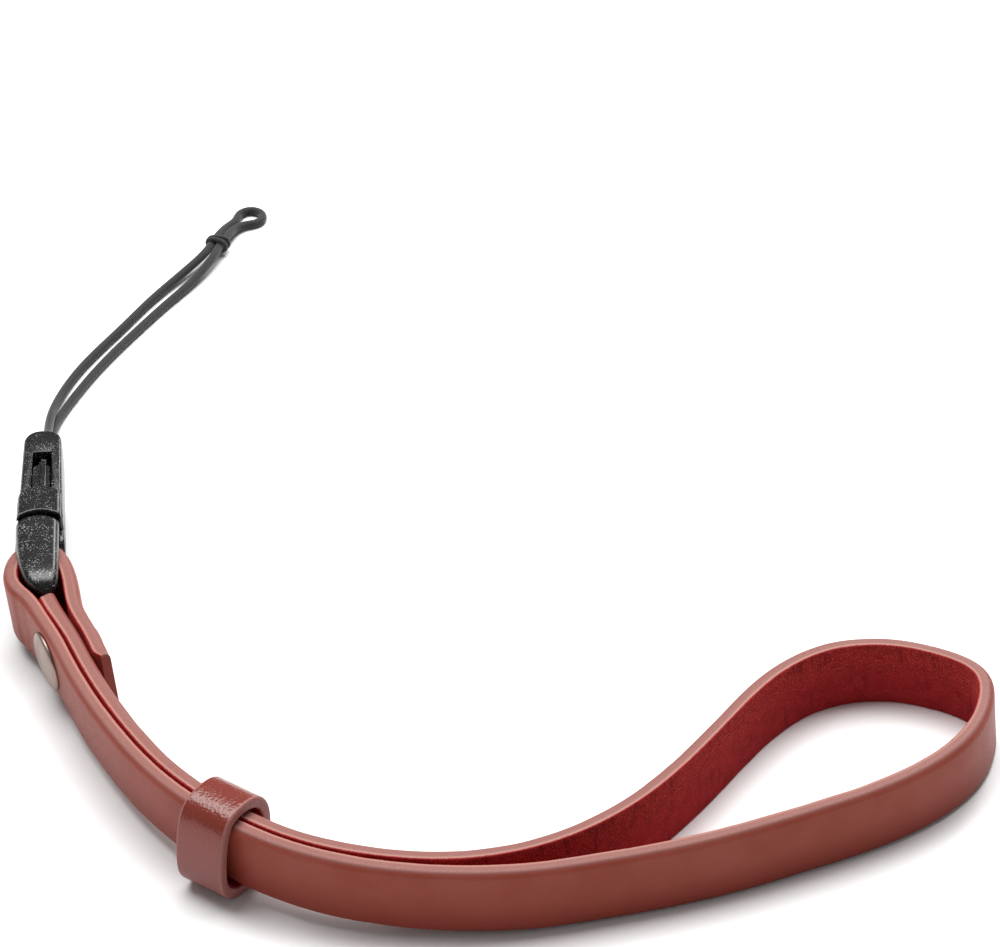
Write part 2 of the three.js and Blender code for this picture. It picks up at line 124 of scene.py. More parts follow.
# back, up, left, right: the rail's middle from its dipped nose to the groove, and its sides there
RAIL = (
    (2.6, 9.4, 0.3, 0.9), (2.55, 10.0, 0.0, 1.6), (2.6, 10.6, -0.4, 2.1), (2.85, 11.2, -0.8, 2.3),
    (3.4, 11.75, -1.2, 2.4), (4.3, 12.15, -1.65, 2.44), (5.6, 12.35, -2.05, 2.46),
    (7.5, 12.4, -2.5, 2.45), (10.0, 12.4, -2.85, 2.42), (14.0, 12.4, -3.05, 2.4),
    (16.85, 12.4, -3.05, 2.4),
)

# the same for the raised collar beyond the groove
COLLAR = ((17.2, 12.85, -2.95, 2.6), (20.0, 12.85, -2.95, 2.6), (22.5, 12.8, -2.85, 2.55))

KEEPER_PLACE = (-31.35, -31.35)  # on the seam
KEEPER_TURN = math.radians(3)  # from the band's direction
RIVET_PLACE = (-52.6, 3.0)  # on the seam
HITCH_PLACE = (-38.4, 103.95, 1.5)
HITCH_HEADING = math.radians(70)
BUCKLE_PLACE = (-55.65, 7.6)  # where the plug's rails end
BUCKLE_TURN = math.radians(3.46)
LAYER_GAP = 0.3  # between the two layers at the seam
BAND_LEAN = 0.078  # how far the band and rivet lean along +X, for each unit below what is kept
BAND_KEPT = 10  # the height that the band's lean leaves in place
BUCKLE_LEAN = -0.07  # the same for the buckle, whose upper face stays in place
CORD_STEPS = 32  # rows of vertices in one turn of a strand


def spline_points(posts, per_span=24, cyclic=False):
    """Points along the uniform cubic B-spline that the posts pull, in the posts' own units."""
    posts = np.array(posts, float)
    if cyclic:
        posts = np.vstack([posts, posts[:3]])
    spans = len(posts) - 3
    s = np.linspace(0, 1, per_span, endpoint=False)[:, None]
    weights = (
        (1 - s) ** 3 / 6, (3 * s**3 - 6 * s**2 + 4) / 6,
        (-3 * s**3 + 3 * s**2 + 3 * s + 1) / 6, s**3 / 6,
    )
    points = [sum(w * posts[i + k] for k, w in enumerate(weights)) for i in range(spans)]
    last = (posts[-3] + 4 * posts[-2] + posts[-1]) / 6
    return np.vstack([*points, last])


def lengths_along(points):
    """How far each point lies along the line of points."""
    steps = np.linalg.norm(np.diff(points, axis=0), axis=1)
    return np.concatenate([[0], np.cumsum(steps)])


def seam_layer(side):
    """One layer's posts beside the seam: side is -1 for the near layer and 1 for the far one."""
    rows = np.array(SEAM)
    along = np.gradient(rows[:, :2], axis=0)
    along /= np.linalg.norm(along, axis=1)[:, None]
    shift = side * rows[:, 3]
    rows[:, 0] -= along[:, 1] * shift
    rows[:, 1] += along[:, 0] * shift
    return [tuple(row) for row in rows[:, :3]]


BAND_POSTS = [*WRAP, *seam_layer(-1), *LOOP, *seam_layer(1)[::-1], *END]


def heading_near(place):
    """The direction of the near layer where it passes closest to a place on the seam."""
    line = spline_points(BAND_POSTS)
    line = line[: len(line) // 2, :2]
    i = int(np.argmin(np.linalg.norm(line - np.array(place), axis=1)))
    along = line[i + 1] - line[i]
    return Vector((*along, 0)).normalized()


# ---------------------------------------------------------------- modelling helpers


def start(add, name, **options):
    """Adds a primitive with nothing else selected, and names it."""
    bpy.ops.object.select_all(action="DESELECT")
    add(**options)
    piece = bpy.context.object
    piece.name = name
    piece.data.name = name
    return piece


def choose(piece):
    """Selects one piece alone."""
    bpy.ops.object.select_all(action="DESELECT")
    bpy.context.view_layer.objects.active = piece
    piece.select_set(True)


def block(name, x, y, z):
    """A box between two places on each axis, given in metres."""
    low, high = Vector((x[0], y[0], z[0])), Vector((x[1], y[1], z[1]))
    piece = start(bpy.ops.mesh.primitive_cube_add, name, size=1, location=(low + high) / 2)
    piece.scale = high - low
    bpy.ops.object.transform_apply()
    return piece


def slab(name, *sides):
    """A box between two places on each axis, given in millimetres."""
    return block(name, *((low * MM, high * MM) for low, high in sides))


def cut_out(name, outline, low, high):
    """A plate with a counter-clockwise outline in XY, from one height to another."""
    piece = start(bpy.ops.mesh.primitive_circle_add, name, vertices=len(outline), fill_type="NGON")
    for vertex, (x, y) in zip(piece.data.vertices, outline):
        vertex.co = (x, y, low)
    edit(piece, "FACE")
    bpy.ops.mesh.select_all(action="SELECT")
    bpy.ops.mesh.extrude_region_move(TRANSFORM_OT_translate={"value": (0, 0, high - low)})
    face_outwards()
    return piece


def turned(name, profile, sides):
    """A piece turned round Z through rows of radius and height, closed at both ends."""
    radius, height = profile[0]
    piece = start(
        bpy.ops.mesh.primitive_circle_add, name,
        vertices=sides, radius=radius, location=(0, 0, height), fill_type="NGON",
    )
    edit(piece, "EDGE")
    bpy.ops.mesh.select_all(action="SELECT")
    for next_radius, next_height in profile[1:]:
        bpy.ops.mesh.extrude_region_move(
            TRANSFORM_OT_translate={"value": (0, 0, next_height - height)}
        )
        bpy.ops.transform.resize(value=[next_radius / radius] * 3)
        radius, height = next_radius, next_height
    face_outwards()
    return piece


def edit(piece, kind):
    """Edit mode on one piece, with nothing selected."""
    bpy.context.view_layer.objects.active = piece
    bpy.ops.object.mode_set(mode="EDIT")
    bpy.ops.mesh.select_mode(type=kind)
    bpy.ops.mesh.select_all(action="DESELECT")


def face_outwards():
    """Turns the faces of the piece in edit mode outwards, and leaves edit mode."""
    bpy.ops.mesh.select_all(action="SELECT")
    bpy.ops.mesh.normals_make_consistent(inside=False)
    bpy.ops.object.mode_set(mode="OBJECT")


def pick(piece, kind, test):
    """Selects the vertices, edges or faces of the piece in edit mode that pass a test."""
    bpy.ops.mesh.select_all(action="DESELECT")
    mesh = bmesh.from_edit_mesh(piece.data)
    for item in getattr(mesh, kind):
        if test(item):
            item.select_set(True)
    mesh.select_flush_mode()
    bmesh.update_edit_mesh(piece.data)


def runs_along(edge, axis):
    """Whether an edge of the mesh lies along an axis."""
    way = edge.verts[1].co - edge.verts[0].co
    return abs(way[axis]) > 0.99 * way.length


def round_edges(piece, radius, segments, test):
    """Rounds the edges of a piece that pass a test."""
    edit(piece, "EDGE")
    pick(piece, "edges", test)
    bpy.ops.mesh.bevel(offset=radius, segments=segments, affect="EDGES")
    bpy.ops.object.mode_set(mode="OBJECT")


def split_long_edges(piece, axis, *cuts):
    """Cuts every edge along an axis, and the faces between them, once for each count of cuts."""
    edit(piece, "EDGE")
    for count in cuts:
        pick(piece, "edges", lambda edge: runs_along(edge, axis))
        bpy.ops.mesh.subdivide(number_cuts=count)
    bpy.ops.object.mode_set(mode="OBJECT")


def apply_modifier(piece, kind, **settings):
    """Adds a modifier to a piece and applies it."""
    choose(piece)
    modifier = piece.modifiers.new(kind.title(), kind)
    for key, value in settings.items():
        setattr(modifier, key, value)
    bpy.ops.object.modifier_apply(modifier=modifier.name)


def soften(piece, width, segments=3, angle=35):
    """Rounds every edge that is sharper than an angle."""
    apply_modifier(
        piece, "BEVEL", width=width, segments=segments, limit_method="ANGLE",
        angle_limit=math.radians(angle),
    )


def cut(piece, cutter):
    """Takes one closed piece away from another."""
    apply_modifier(piece, "BOOLEAN", operation="DIFFERENCE", solver="EXACT", object=cutter)
    bpy.data.objects.remove(cutter)


def join(name, pieces):
    """One piece made of several."""
    bpy.ops.object.select_all(action="DESELECT")
    for piece in pieces:
        piece.select_set(True)
    bpy.context.view_layer.objects.active = pieces[0]
    bpy.ops.object.join()
    pieces[0].name = name
    return pieces[0]


def roughen(piece, name, size, height):
    """Lifts and lowers the surface by a slow noise."""
    texture = bpy.data.textures.new(name, "CLOUDS")
    texture.noise_scale = size
    texture.noise_depth = 1
    apply_modifier(
        piece, "DISPLACE", texture=texture, strength=height, mid_level=0.5, texture_coords="LOCAL",
    )


def lean(piece, share, top):
    """Leans a standing piece along +X by a share of the depth below its top."""
    points = points_of(piece)
    points[:, 0] += share * (top - points[:, 2])
    move_points(piece, points)


def rounded(away, radius):
    """How far a rounded edge falls at each distance away from it."""
    near = np.clip(radius - away, 0, radius)
    return radius - np.sqrt(radius**2 - near**2)


def cushion(name, rows, thickness, crown, bow, radii, cuts=(36, 70)):
    """A raised pad over rows of back, up, left and right, in millimetres.

    crown is how much its sides fall, bow how far its far end curves back at the sides, with the
    near end doing the same when bow has two values, and radii are those of its sides and ends.
    """
    piece = block(name, (-1, 1), (0, 1), (0, 1))
    split_long_edges(piece, 0, cuts[0])
    split_long_edges(piece, 1, cuts[1])
    points = points_of(piece)
    rows = np.array(rows) * MM
    path = spline_points([2 * rows[0] - rows[1], *rows, 2 * rows[-1] - rows[-2]], 12)
    along = lengths_along(path[:, :2])
    share = (1 - np.cos(math.pi * points[:, 1])) / 2
    back, up, left, right = (np.interp(share * along[-1], along, path[:, i]) for i in range(4))
    way = np.gradient(path[:, :2], along, axis=0)
    way_back, way_up = (np.interp(share * along[-1], along, way[:, i]) for i in range(2))
    u = np.sin(points[:, 0] * math.pi / 2)
    half = (right - left) / 2
    far_bow, near_bow = bow
    back -= u**2 * (far_bow * share**3 + near_bow * (1 - share) ** 3)
    side, end = radii
    sunk = crown * u**2 + rounded((1 - np.abs(u)) * half, side)
    sunk += rounded((1 - share) * along[-1], end)
    if near_bow:
        sunk += rounded(share * along[-1], end)
    sunk = np.where(points[:, 2] > 0.5, sunk, thickness)
    points[:, 0] = (left + right) / 2 + u * half
    points[:, 1] = back + way_up * sunk
    points[:, 2] = up - way_back * sunk
    move_points(piece, points)
    return piece


def bend_along(piece, posts, cyclic=False):
    """Bends a piece that lies along +X from x = 0 so that it follows the posts' line."""
    curve = bpy.data.curves.new("route", "CURVE")
    curve.dimensions = "3D"
    curve.twist_mode = "Z_UP"
    spline = curve.splines.new("NURBS")
    spline.points.add(len(posts) - 1)
    spline.order_u = 4
    spline.resolution_u = 24
    spline.use_cyclic_u = cyclic
    for point, post in zip(spline.points, posts):
        point.co = (*post, 1)
    route = bpy.data.objects.new("route", curve)
    bpy.context.scene.collection.objects.link(route)
    apply_modifier(piece, "CURVE", object=route, deform_axis="POS_X")
    bpy.data.objects.remove(route)


def place(piece, matrix):
    """Moves a finished piece, its mesh and not its object."""
    piece.data.transform(matrix)
    piece.data.update()


def points_of(piece):
    """The piece's vertices as rows of x, y and z."""
    flat = np.empty(len(piece.data.vertices) * 3)
    piece.data.vertices.foreach_get("co", flat)
    return flat.reshape(-1, 3)


def move_points(piece, points):
    """Puts the piece's vertices at rows of x, y and z."""
    piece.data.vertices.foreach_set("co", np.ascontiguousarray(points, float).ravel())
    piece.data.update()


def store(piece, name, values):
    """Keeps one number at each vertex, for the piece's materials."""
    attribute = piece.data.attributes.new(name, "FLOAT", "POINT")
    attribute.data.foreach_set("value", np.ascontiguousarray(values, np.float32))


def smooth(piece, angle=40):
    """Shades the piece smooth, apart from its sharp edges."""
    choose(piece)
    bpy.ops.object.shade_smooth_by_angle(angle=math.radians(angle))


def finish_piece(piece, slot, materials, *nodes):
    """Gives a piece its materials and its body, and hides the CAD nodes it stands for; its slot is
    not used.
    """
    piece.data.materials.clear()
    for material in materials:
        piece.data.materials.append(material)
    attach(piece, "root")
    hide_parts(*nodes)


# ---------------------------------------------------------------- finishes


class Finish:
    """A material, with short calls that add its nodes and join them."""

    def __init__(self, name, **values):
        self.material = bpy.data.materials.new(name)
        self.material.use_nodes = True
        self.tree = self.material.node_tree
        self.surface = self.tree.nodes["Principled BSDF"]
        self.set(**values)

    def add(self, kind, inputs, output=0, **settings):
        node = self.tree.nodes.new("ShaderNode" + kind)
        for key, value in settings.items():
            setattr(node, key, value)
        for key, value in inputs.items():
            self.put(value, node.inputs[key])
        return node.outputs[output]

    def put(self, value, socket):
        if isinstance(value, bpy.types.NodeSocket):
            self.tree.links.new(value, socket)
        else:
            socket.default_value = value

    def set(self, **values):
        for key, value in values.items():
            self.put(value, self.surface.inputs[key.replace("_", " ")])

    def here(self):
        """The point on the piece, in metres."""
        return self.add("TexCoord", {}, "Object")

    def kept(self, name):
        """A number kept at the piece's vertices."""
        return self.add("Attribute", {}, "Fac", attribute_name=name)

    def noise(self, size, detail=2.0, where=None, rough=0.5):
        """A noise from 0 to 1, whose lumps are about size metres across."""
        inputs = {"Vector": where or self.here(), "Scale": 1 / size}
        return self.add("TexNoise", {**inputs, "Detail": detail, "Roughness": rough}, "Fac")

    def cells(self, size):
        """The smoothed distance to the middle of cells that are about size metres across."""
        inputs = {"Vector": self.here(), "Scale": 1 / size}
        return self.add("TexVoronoi", inputs, "Distance", feature="SMOOTH_F1")

    def math(self, operation, a, b=0.0):
        return self.add("Math", {0: a, 1: b}, operation=operation)

    def span(self, value, low, high, to_low=0.0, to_high=1.0):
        """A value carried from one range to another, and held within it."""
        inputs = {"Value": value, "From Min": low, "From Max": high}
        inputs |= {"To Min": to_low, "To Max": to_high}
        return self.add("MapRange", inputs, interpolation_type="SMOOTHSTEP")

    def mix(self, share, a, b):
        """A colour between two colours."""
        a, b = (c if isinstance(c, bpy.types.NodeSocket) else (*c, 1) for c in (a, b))
        return self.add("Mix", {0: share, 6: a, 7: b}, 2, data_type="RGBA")

    def stretched(self, *kept_by_size):
        """Coordinates from kept numbers, each divided by a size in metres."""
        parts = [self.math("DIVIDE", self.kept(name), size) for name, size in kept_by_size]
        return self.add("CombineXYZ", dict(enumerate(parts)))

    def bump(self, *layers):
        """Bumps on the surface: rows of height from 0 to 1, metres high, and strength."""
        normal = None
        for height, distance, strength in layers:
            inputs = {"Height": height, "Distance": distance, "Strength": strength}
            if normal:
                inputs["Normal"] = normal
            normal = self.add("Bump", inputs)
        self.set(Normal=normal)


def leather_finish(colours):
    """Smooth grain outside with painted shade towards its lower edge, pale burnished edges with
    painted shade on their borders towards the grain and a painted highlight towards the suede, and
    creases at hard bends.
    """
    f = Finish("leather_grain", Specular_IOR_Level=0.15)
    across, depth = f.kept("across"), f.kept("depth")
    patches = f.noise(7 * MM, 3)
    specks = f.noise(0.3 * MM, 4, rough=0.7)
    face = f.mix(f.span(patches, 0.3, 0.7), colours.grain, colours.grain_red)
    # painted shade: the grain side is darkened towards its lower edge
    face = f.mix(f.span(across, 0.62, 0.05), face, colours.grain_low_painted_shade)
    face = f.mix(f.span(specks, 0.6, 0.8, 0, 0.25), face, colours.grain_pale)
    edge = f.mix(f.span(specks, 0.3, 0.75), colours.edge, colours.edge_red)
    # painted shade where the edge rounds over towards the grain
    edge = f.mix(f.span(depth, 0.62, 0.9, 0, 0.85), edge, colours.edge_painted_shade)
    # painted highlight: a pale line along the edge beside the suede, on its inner rounding
    edge = f.mix(f.span(depth, 0.3, 0.16, 0, 0.8), edge, colours.edge_painted_highlight)
    fuzz = f.math("ADD", depth, f.span(specks, 0.2, 0.8, -0.05, 0.05))
    edge = f.mix(f.span(fuzz, 0.12, 0.05), edge, colours.suede)
    rim = f.math("ABSOLUTE", f.math("SUBTRACT", across, 0.5))
    colour = f.mix(f.span(rim, 0.45, 0.485), face, edge)
    f.set(Base_Color=colour, Roughness=f.span(specks, 0.3, 0.7, 0.36, 0.5))
    creases = f.noise(1.0, 4, where=f.stretched(("along", 0.5 * MM), ("width", 7 * MM)), rough=0.65)
    bent = f.span(f.kept("bend"), 0.03, 0.1)
    f.bump(
        (patches, 0.15 * MM, 0.3),
        (f.math("MULTIPLY", creases, bent), 0.14 * MM, 0.9),
        (f.cells(0.3 * MM), 0.03 * MM, 0.3),
        (specks, 0.03 * MM, 0.35),
    )
    return f.material


def suede_finish(colours):
    """Deep red nap: fine pale fibres, and painted light that makes the nap and its fibre tips
    brighter, most of all near the top edge.
    """
    f = Finish(
        "suede", Roughness=0.95, Specular_IOR_Level=0.1, Sheen_Weight=0.12, Sheen_Roughness=0.4,
        Sheen_Tint=(*colours.suede_tips_and_painted_light, 1),
    )
    brushed = f.stretched(("along", 0.16 * MM), ("width", 0.34 * MM))
    fibres = f.noise(1.0, 4, where=brushed, rough=0.8)
    streaks = f.noise(1.0, 3, where=f.stretched(("along", 0.9 * MM), ("width", 5 * MM)), rough=0.6)
    clumps = f.noise(1.1 * MM, 4, rough=0.6)
    high = f.span(f.kept("across"), 0.25, 0.95)
    colour = f.mix(f.span(clumps, 0.35, 0.65), colours.suede_dark, colours.suede)
    # painted light: the suede is painted brighter towards its top edge
    painted_top_light = f.math("MULTIPLY", high, f.span(clumps, 0.3, 0.7, 0.3, 1))
    colour = f.mix(painted_top_light, colour, colours.suede_top_painted_light)
    # the fibres' own pale tips, shown more towards the top edge as painted light
    lit = f.math("MULTIPLY", f.span(fibres, 0.52, 0.66), f.span(high, 0, 1, 0.25, 0.85))
    colour = f.mix(lit, colour, colours.suede_tips_and_painted_light)
    colour = f.mix(f.span(fibres, 0.47, 0.33, 0, 0.75), colour, colours.suede_deep)
    colour = f.mix(f.span(streaks, 0.45, 0.3, 0, 0.5), colour, colours.suede_deep)
    f.set(Base_Color=colour)
    f.bump((clumps, 0.25 * MM, 0.5), (fibres, 0.16 * MM, 0.9))
    return f.material


def keeper_finish(colours):
    """Smooth leather that turns pebbled, redder and glossy over the top bend, with matte rims."""
    f = Finish("keeper_grain", Specular_IOR_Level=0.4)
    rim, up = f.kept("rim"), f.kept("up")
    patches = f.noise(3 * MM, 3)
    specks = f.noise(0.22 * MM, 4, rough=0.7)
    top = f.span(f.math("ADD", up, f.span(patches, 0.2, 0.8, -0.5, 0.5)), 9.6, 10.9)
    # painted shade: the keeper's grain darkens towards the surface
    face = f.mix(f.span(up, 7.5, 1.5), colours.keeper, colours.keeper_low_painted_shade)
    face = f.mix(top, face, colours.keeper_top)
    face = f.mix(f.span(specks, 0.55, 0.75, 0, 0.3), face, colours.grain_pale)
    inner = f.span(f.kept("outside"), 0.2, 0.05)
    colour = f.mix(f.span(rim, 0.15, 0.5), face, colours.keeper_rim)
    colour = f.mix(inner, colour, colours.suede_dark)
    gloss = f.mix(top, (0.42,) * 3, (0.2,) * 3)
    f.set(Base_Color=colour, Roughness=f.math("MAXIMUM", gloss, f.span(rim, 0.0, 0.5, 0, 0.55)))
    pebbles = f.math("MULTIPLY", f.cells(0.36 * MM), f.span(up, 8, 10.5, 0.15, 1))
    f.bump((patches, 0.1 * MM, 0.3), (pebbles, 0.08 * MM, 0.6), (specks, 0.03 * MM, 0.5))
    return f.material


def nickel_finish(colours):
    """Satin nickel, blasted fine, with a faint tarnish."""
    f = Finish("nickel", Metallic=1.0)
    tarnish = f.noise(3 * MM, 2)
    colour = f.mix(f.span(tarnish, 0.3, 0.75), colours.nickel, colours.nickel_dark)
    f.set(Base_Color=colour, Roughness=f.span(tarnish, 0.3, 0.7, 0.4, 0.48))
    f.bump((f.noise(0.08 * MM, 2), 0.008 * MM, 0.5))
    return f.material


def plastic_finish(colours):
    """Near-black moulded plastic, with a spark-eroded texture whose facets glitter, helped by
    painted glints: pale specks in its colour.
    """
    f = Finish("moulded_plastic", Specular_IOR_Level=0.4)
    facets = f.noise(0.2 * MM, 1.5)
    slow = f.noise(1.6 * MM, 2)
    # painted glints: pale specks in the colour, denser where a slow noise allows
    glitter = f.span(facets, 0.58, 0.66, 0, f.span(slow, 0.38, 0.62, 0.1, 0.9))
    f.set(Base_Color=f.mix(glitter, colours.plastic, colours.plastic_painted_glint), Roughness=0.27)
    f.bump((slow, 0.05 * MM, 0.25), (facets, 0.02 * MM, 0.4))
    return f.material


def braid_finish(colours):
    """Black braided yarn: dark between the strands, with grey flecks scattered at random."""
    f = Finish(
        "braid", Roughness=0.75, Specular_IOR_Level=0.3, Sheen_Weight=0.25, Sheen_Roughness=0.5,
    )
    flecks = f.noise(0.12 * MM, 3, rough=0.7)
    relief = f.kept("relief")
    colour = f.mix(f.span(relief, 0.3, 0.95), colours.braid_dark, colours.braid)
    colour = f.mix(f.span(flecks, 0.52, 0.7, 0, 0.8), colour, colours.braid_pale)
    f.set(Base_Color=colour)
    f.bump((relief, 0.05 * MM, 0.5), (flecks, 0.05 * MM, 0.7))
    return f.material


# ---------------------------------------------------------------- sizes and colours


def size(name, description, millimetres):
    return FloatProperty(
        name=name, description=description, default=millimetres * MM, unit="LENGTH", precision=5
    )


def colour(name, *display):
    return FloatVectorProperty(name=name, subtype="COLOR", default=tint(*display), min=0, max=1)


class BandSizes(PropertyGroup):
    """Sizes of the leather band."""

    width: size("Width", "How high the band stands on its edge", 9)
    wall: size("Wall", "Thickness of the leather", 1.9)
    outer_round: size("Outer round", "Radius between the grain side and the edges", 0.9)
    inner_round: size("Inner round", "Radius between the suede side and the edges", 0.24)
    skive: size("Skive", "How much the cut tail is thinned", 0.7)
    skive_length: size("Skive length", "Length of the thinned part of the tail", 1.4)
    slant: size("Slant", "How far the hidden end is cut aslant", 0.8)
    puff: size("Puff", "How much thicker the hidden end is, where nothing presses it", 0.22)
    worn_round: size("Worn round", "Radius of the hidden end's worn edges", 0.7)


class KeeperSizes(PropertyGroup):
    """Sizes of the keeper ring."""

    length: size("Length", "The ring's length along the band", 6.8)
    wall: size("Wall", "Thickness of the leather before it is shaped", 1.4)
    rim_round: size("Rim round", "Radius of the ring's rims", 0.35)


class RivetSizes(PropertyGroup):
    """Sizes of the rivet."""

    cap_radius: size("Cap radius", "Radius of the domed cap", 3.7)
    cap_height: size("Cap height", "Height of the dome over the leather", 1.0)
    back_radius: size("Back radius", "Radius of the back cap", 2.4)
    back_height: size("Back height", "Height of the back cap", 0.5)
    sides: IntProperty(name="Sides", description="Facets round the rivet", default=72, min=24)


class BuckleSizes(PropertyGroup):
    """Sizes of the side-release buckle."""

    height: size("Height", "From one narrow face to the other", 12.4)
    thickness: size("Thickness", "Of the narrow faces, from one broad side to the other", 5.4)
    round: size("Round", "Radius of the moulded edges", 0.4)
    corner: size("Corner", "Radius of the far end's corners", 2.2)
    mouth: size("Mouth", "From the rails' ends to the socket's mouth", 16.2)
    far_end: size("Far end", "From the rails' ends to the socket's far end", 35.3)


class CordSizes(PropertyGroup):
    """Sizes of the cord."""

    diameter: size("Diameter", "Thickness of the braided cord", 1.2)
    plait: size("Plait", "Length of one turn of a strand round the cord", 4.2)
    strands: IntProperty(name="Strands", description="Strands each way", default=6, min=2)


class StrapColours(PropertyGroup):
    """Colours of the strap's finishes."""

    grain: colour("Grain side of the band", 146, 70, 58)
    grain_red: colour("Redder patches of the grain side", 140, 62, 46)
    # painted shade: the grain side darker near its lower edge
    grain_low_painted_shade: colour("Grain side near its lower edge", 128, 52, 40)
    grain_pale: colour("Fine pale specks of the grain side", 166, 98, 88)
    edge: colour("Burnished edge", 138, 93, 86)
    edge_red: colour("Redder patches of the burnished edge", 130, 82, 75)
    # painted shade on the edge's rounding towards the grain
    edge_painted_shade: colour("Border of the edge towards the grain", 116, 62, 56)
    # painted highlight along the edge's inner rounding by the suede
    edge_painted_highlight: colour("Painted highlight of the edge towards the suede", 164, 120, 108)
    suede: colour("Suede side of the band", 156, 38, 42)
    # painted light: the suede brighter near its top edge
    suede_top_painted_light: colour("Suede near its top edge", 172, 48, 46)
    suede_dark: colour("Hollows of the suede", 140, 30, 36)
    suede_deep: colour("Between the fibres of the suede", 88, 10, 16)
    # pale fibre tips and the sheen's tint, also painted light where weighted towards the top edge
    suede_tips_and_painted_light: colour("Tips of the fibres of the suede", 216, 112, 100)
    keeper: colour("Keeper's grain", 134, 64, 58)
    # painted shade: the keeper's grain darker near the surface
    keeper_low_painted_shade: colour("Keeper's grain near the surface", 120, 60, 54)
    keeper_top: colour("Keeper's glossy bend", 112, 46, 36)
    keeper_rim: colour("Cut rims of the keeper", 142, 86, 80)
    nickel: colour("Rivet", 152, 134, 126)
    nickel_dark: colour("Tarnish on the rivet", 134, 118, 110)
    plastic: colour("Buckle", 13, 13, 14)
    # painted glints: pale specks in the buckle's colour
    plastic_painted_glint: colour("Glints of the buckle's texture", 150, 150, 152)
    braid: colour("Cord", 26, 26, 28)
    braid_dark: colour("Between the cord's strands", 10, 10, 11)
    braid_pale: colour("Flecks on the cord", 72, 72, 74)


class StudioSettings(PropertyGroup):
    """The camera and the lights."""

    elevation: FloatProperty(
        name="Elevation", description="The camera's height over the surface, as an angle",
        default=math.radians(36), subtype="ANGLE",
    )
    roll: FloatProperty(
        name="Roll", description="The camera's turn about its line of sight",
        default=math.radians(-1.2), subtype="ANGLE",
    )
    distance: size("Distance", "From the camera to the point it looks at", 533)
    target: FloatVectorProperty(
        name="Target", description="The point on the surface that the camera looks at",
        default=(1.65 * MM, 48.1 * MM, 0), subtype="TRANSLATION",
    )
    lens: FloatProperty(
        name="Lens", description="Focal length", default=144, subtype="DISTANCE_CAMERA",
    )


class StrapSettings(PropertyGroup):
    """All settings of the strap."""

    band: PointerProperty(type=BandSizes)
    keeper: PointerProperty(type=KeeperSizes)
    rivet: PointerProperty(type=RivetSizes)
    buckle: PointerProperty(type=BuckleSizes)
    cord: PointerProperty(type=CordSizes)
    colours: PointerProperty(type=StrapColours)
    studio: PointerProperty(type=StudioSettings)


# ---------------------------------------------------------------- the camera and the cord


class STRAP_OT_camera(Operator):
    """Makes the camera"""

    bl_idname = "strap.camera"
    bl_label = "Camera"

    def execute(self, context):
        studio = context.scene.strap.studio
        data = bpy.data.cameras.new("camera")
        data.sensor_width = 36
        data.lens = studio.lens
        data.clip_start, data.clip_end = 0.01, 20
        camera = bpy.data.objects.new("camera", data)
        context.scene.collection.objects.link(camera)
        tilt = Matrix.Rotation(math.pi / 2 - studio.elevation, 4, "X")
        camera.matrix_world = (
            Matrix.Translation(studio.target)
            @ tilt
            @ Matrix.Translation((0, 0, studio.distance))
            @ Matrix.Rotation(studio.roll, 4, "Z")
        )
        context.scene.camera = camera
        return {"FINISHED"}


def braided(name, posts, sizes, slim=1.0, cyclic=False):
    """A round braided cord along the posts, in metres, whose strands stand out in relief."""
    length = lengths_along(spline_points(posts, cyclic=cyclic))[-1]
    piece = start(
        bpy.ops.mesh.primitive_cylinder_add, name, vertices=4 * sizes.strands,
        radius=slim * sizes.diameter / 2, depth=length, location=(length / 2, 0, 0),
        rotation=(0, math.pi / 2, 0), end_fill_type="NGON",
    )
    bpy.ops.object.transform_apply()
    steps = length / (sizes.plait / CORD_STEPS)
    first = max(1, round(math.sqrt(steps)))
    split_long_edges(piece, 0, first, max(1, round(steps / (first + 1))))
    points = points_of(piece)
    around = np.arctan2(points[:, 2], points[:, 1])
    turns = WHOLE_TURN * points[:, 0] / sizes.plait
    one_way = np.abs(np.cos((sizes.strands * around + sizes.strands * turns) / 2))
    other_way = np.abs(np.cos((sizes.strands * around - sizes.strands * turns) / 2))
    relief = np.maximum(one_way, other_way)
    store(piece, "relief", relief)
    points[:, 1:] *= (1 + 0.07 * (relief - 0.8))[:, None]
    move_points(piece, points)
    bend_along(piece, posts, cyclic)
    smooth(piece, 180)
    return piece, length


class STRAP_OT_cord(Operator):
    """Makes the cord's loop and the hitch round its two strands"""

    bl_idname = "strap.cord"
    bl_label = "Cord and hitch"

    def execute(self, context):
        sizes = context.scene.strap.cord
        braid = braid_finish(context.scene.strap.colours)
        posts = [tuple(v * MM for v in post) for post in CORD]
        cord, length = braided("cord_loop", posts, sizes)
        finish_piece(cord, "braid", [braid], "cord")
        hitch = self.hitch(sizes)
        finish_piece(hitch, "braid", [braid], "cord_hitch")
        return {"FINISHED"}

    def hitch(self, sizes):
        """Two turns of cord side by side round both strands."""
        half, high = 1.5 * MM, 0.9 * MM
        ring = [
            (half * math.copysign(abs(math.cos(a)) ** 0.7, math.cos(a)),
             high * math.copysign(abs(math.sin(a)) ** 0.9, math.sin(a)), 0)
            for a in (WHOLE_TURN * k / 12 for k in range(12))
        ]
        turns = []
        for i, (shift, tip) in enumerate(((-0.36, 0.16), (0.36, -0.1))):
            turn, _ = braided(f"hitch_turn_{i}", ring, sizes, 0.6, cyclic=True)
            place(turn, Matrix.Translation((0, 0, shift * MM)) @ Matrix.Rotation(tip, 4, "Y"))
            turns.append(turn)
        hitch = join("cord_hitch_turns", turns)
        quarter = math.pi / 2
        stand = Matrix.Rotation(HITCH_HEADING - quarter, 4, "Z") @ Matrix.Rotation(quarter, 4, "X")
        place(hitch, Matrix.Translation(Vector(HITCH_PLACE) * MM) @ stand)
        return hitch


# ---------------------------------------------------------------- the band


